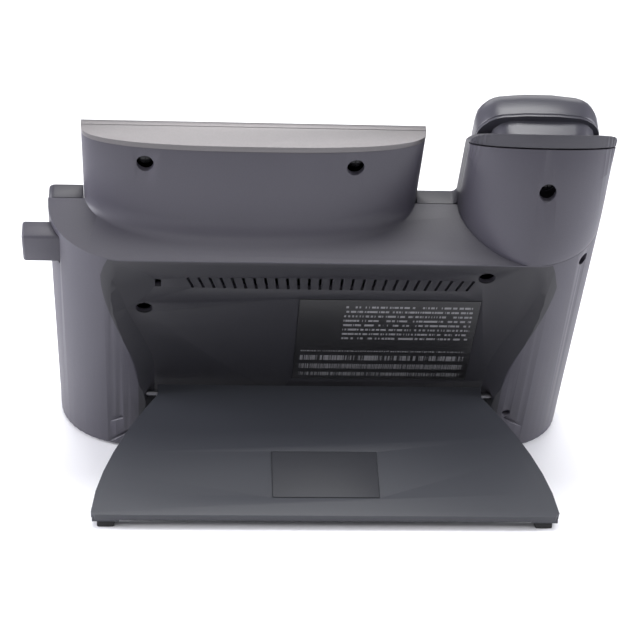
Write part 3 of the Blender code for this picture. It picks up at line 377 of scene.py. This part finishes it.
# ---------------------------------------------------------------- front housing
# The front half of the shell, in the same grained plastic. From behind it shows as a strip along
# the shoulder and as the lip round the handset's cradle.
front = rounded_copy("front_housing", "front_shell", 0.0006)
dress(front, moulded("front_charcoal", (0.034, 0.033, 0.042), (0.026, 0.025, 0.033), 0.48, 1900.0, 0.22))
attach(front, "set")
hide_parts("front_housing")


# ---------------------------------------------------------------- display bezel and its lid
# A frame moulded in plastic with a silver metallic finish, whose D-shaped lid closes the pod. Its
# satin surface has a fine grain, and its broken edges catch the light.
satin = moulded("satin_silver", (0.135, 0.128, 0.131), (0.115, 0.110, 0.113), 0.42, 900.0, 0.05,
                metallic=0.75)
bezel = rounded_copy("display_bezel", "silver_bezel", 0.0005, segments=3)
dress(bezel, satin)
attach(bezel, "set")
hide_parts("display_bezel")


# ---------------------------------------------------------------- display
# Hard coated glass over a colour panel that is switched off, so it looks black and mirrors the room.
glass = moulded("dark_glass", (0.006, 0.007, 0.009), (0.005, 0.006, 0.008), 0.09, 60.0, 0.0, coat=0.6)
pane = rounded_copy("display_lens", "display_pane", 0.0003)
dress(pane, glass)
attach(pane, "set")
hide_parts("display_lens")


# ---------------------------------------------------------------- handset
# Two shells in a slightly glossier charcoal, closed along a seam that runs round the edge. The
# grip has a soft crown and the front shell holds the two cups.
handset_plastic = moulded("handset_satin", (0.046, 0.045, 0.057), (0.038, 0.037, 0.048), 0.34, 2400.0, 0.10)
for node, name, width in (("handset_back_shell", "handset_back", 0.0012),
                          ("handset_front_shell", "handset_front", 0.0005)):
    shell = rounded_copy(node, name, width, segments=3)
    dress(shell, handset_plastic)
    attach(shell, "handset")
    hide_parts(node)


# ---------------------------------------------------------------- footstand
# One flared plate, a shade bluer and smoother than the housings, with a barrel that turns on a
# steel rod. Its edges are rounded and its outer corners stand on short legs.
stand_plastic = moulded("stand_charcoal", (0.034, 0.036, 0.044), (0.027, 0.029, 0.036), 0.50, 2200.0, 0.16)
stand = rounded_copy("footstand", "stand_plate", 0.0011, segments=3)
dress(stand, stand_plastic)
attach(stand, "stand")
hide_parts("footstand")

badge = rounded_copy("stand_badge", "stand_badge_plain", 0.00012)
dress(badge, moulded("badge_smooth", (0.026, 0.027, 0.032), (0.022, 0.023, 0.028), 0.38, 800.0, 0.03))
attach(badge, "stand")
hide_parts("stand_badge")


# ---------------------------------------------------------------- rubber feet
# Soft black pads under the stand's legs and under the front edge of the set.
rubber = moulded("foot_rubber", (0.010, 0.010, 0.010), (0.016, 0.016, 0.016), 0.80, 1200.0, 0.35)
for node, body in (("stand_foot_left", "stand"), ("stand_foot_right", "stand"),
                   ("base_foot_left", "set"), ("base_foot_right", "set")):
    pad = rounded_copy(node, node + "_pad", 0.0004)
    dress(pad, rubber)
    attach(pad, body)
    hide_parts(node)


# ---------------------------------------------------------------- rating label
# A black film label with its small print in grey. The print is plain dashes and bars.
label_film = bpy.data.materials.new("label_film")
label_film.use_nodes = True
kit = Nodes(label_film.node_tree)
across, up, _ = on_set(label_film.node_tree)


ROW_STEP = 900.0                      # far enough that no two rows share their noise


def row_noise(pitch, scale):
    """Noise along a row of print, different in each row."""
    row = (up - up.modulo(pitch)) * ROW_STEP
    where = kit.make("ShaderNodeCombineXYZ", {}, {"X": across * scale, "Y": row, "Z": 0.0})
    return kit.make("ShaderNodeTexNoise", {}, {"Vector": where, "Scale": 1.0, "Detail": 1.0})


def between(value, low, high):
    return (value > low) * (value < high)


DASH_PITCH = 0.0036
BAR_PITCH = 0.0072
dashes = between(up.modulo(DASH_PITCH), 0.0009, 0.0024) * (row_noise(DASH_PITCH, 900.0) > 0.47)
dashes = dashes * between(up, 0.0385, 0.0690) * between(across, -0.0690, -0.0080)
bars = between(up.modulo(BAR_PITCH), 0.0012, 0.0052) * (row_noise(BAR_PITCH, 2600.0) > 0.50)
bars = bars * between(up, 0.0095, 0.0310) * between(across, -0.0690, 0.0110)
ink = dashes + bars
tone = kit.make("ShaderNodeMix", {"data_type": "RGBA"},
                {"Factor": ink * 0.8, "A": (0.008, 0.008, 0.009, 1), "B": (0.20, 0.20, 0.21, 1)}, out=2)
film = label_film.node_tree.nodes["Principled BSDF"]
label_film.node_tree.links.new(tone.socket, film.inputs["Base Color"])
film.inputs["Roughness"].default_value = 0.42
label = rounded_copy("rating_label", "label_sheet", 0.0001)
dress(label, label_film)
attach(label, "set")
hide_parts("rating_label")


# ---------------------------------------------------------------- release button
# A thick charcoal key that stands out of the side of the set, on a spring.
button = rounded_copy("release_button", "side_button", 0.0006, segments=2)
dress(button, charcoal)
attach(button, "release")
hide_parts("release_button")


# ---------------------------------------------------------------- keys
# Moulded caps with broken edges, in a lighter charcoal than the face. They press on a rubber mat.
cap_plastic = moulded("cap_plastic", (0.10, 0.10, 0.115), (0.085, 0.085, 0.10), 0.42, 1500.0, 0.10)
silver_cap = moulded("silver_cap", (0.42, 0.42, 0.43), (0.36, 0.36, 0.37), 0.35, 900.0, 0.05,
                     metallic=0.7)
ink_white = moulded("key_print", (0.75, 0.75, 0.76), (0.70, 0.70, 0.70), 0.50, 800.0, 0.0)
MARKS = {"star": "*", "pound": "#"}
PAD_ORDER = ["1", "2", "3", "4", "5", "6", "7", "8", "9", "star", "0", "pound"]
PAD_MIDDLE, PAD_TOP = 0.0372, 0.0050
PAD_STEP = (0.0225, 0.0160)
PRINT_LEVEL = 0.04545                 # just over the top of a key
PRINT_SIZE = 0.0062
PRINT_THICKNESS = 0.00004
for name in sorted(nodes):
    is_key = name.endswith("_key") or name.startswith(("keypad_", "line_key", "soft_key"))
    is_other = name in ("navigation_ring", "volume_rocker", "hook_switch")
    if name == "keypad_mat" or not (is_key or is_other):
        continue
    body = {"volume_rocker": "volume", "hook_switch": "hook"}.get(name, name)
    cap = rounded_copy(name, name + "_cap", 0.0003)
    dress(cap, silver_cap if name in ("navigation_ring", "volume_rocker") else cap_plastic)
    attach(cap, body)
    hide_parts(name)
    if name.startswith("keypad_"):
        deselect()
        mark = name.split("_")[1]
        bpy.ops.object.text_add()
        figure = bpy.context.object
        figure.data.body = MARKS.get(mark, mark)
        figure.data.size = PRINT_SIZE
        figure.data.extrude = PRINT_THICKNESS
        figure.data.align_x, figure.data.align_y = "CENTER", "CENTER"
        bpy.ops.object.convert(target="MESH")
        figure = bpy.context.object
        figure.name = name + "_print"
        low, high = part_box(name)
        row, column = divmod(PAD_ORDER.index(mark), 3)
        x, v = PAD_MIDDLE + (column - 1) * PAD_STEP[0], PAD_TOP - row * PAD_STEP[1]
        lean = Matrix.Rotation(FACE_LEAN, 4, "X")
        figure.data.transform(Matrix.Translation(on_face(x, v, PRINT_LEVEL)) @ lean)
        dress(figure, ink_white)
        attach(figure, body)


# ---------------------------------------------------------------- steel parts
# The drawn rod of the footstand and the coil spring behind the release button.
bright = moulded("drawn_steel", (0.16, 0.16, 0.17), (0.12, 0.12, 0.13), 0.38, 600.0, 0.03, metallic=1.0)
for node, name in (("hinge_rod", "stand_rod"), ("release_spring", "button_spring")):
    wire = rounded_copy(node, name, 0.0001)
    dress(wire, bright)
    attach(wire, "set")
    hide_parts(node)


# ---------------------------------------------------------------- sockets and inner parts
# Black moulded sockets in the panel, and the pieces inside the housings.
socket_black = moulded("socket_black", (0.012, 0.012, 0.013), (0.009, 0.009, 0.010), 0.30, 700.0, 0.03)
mat_grey = moulded("mat_grey", (0.05, 0.05, 0.052), (0.04, 0.04, 0.042), 0.75, 900.0, 0.2)
board_green = moulded("board_green", (0.012, 0.075, 0.030), (0.008, 0.055, 0.022), 0.35, 300.0, 0.05)
INSIDES = {"network_jack": socket_black, "handset_jack": socket_black, "keypad_mat": mat_grey,
           "main_board": board_green, "lcd_module": glass, "loudspeaker": socket_black,
           "receiver_capsule": socket_black, "microphone": socket_black}
for node, finish in INSIDES.items():
    dress(nodes[node], finish)
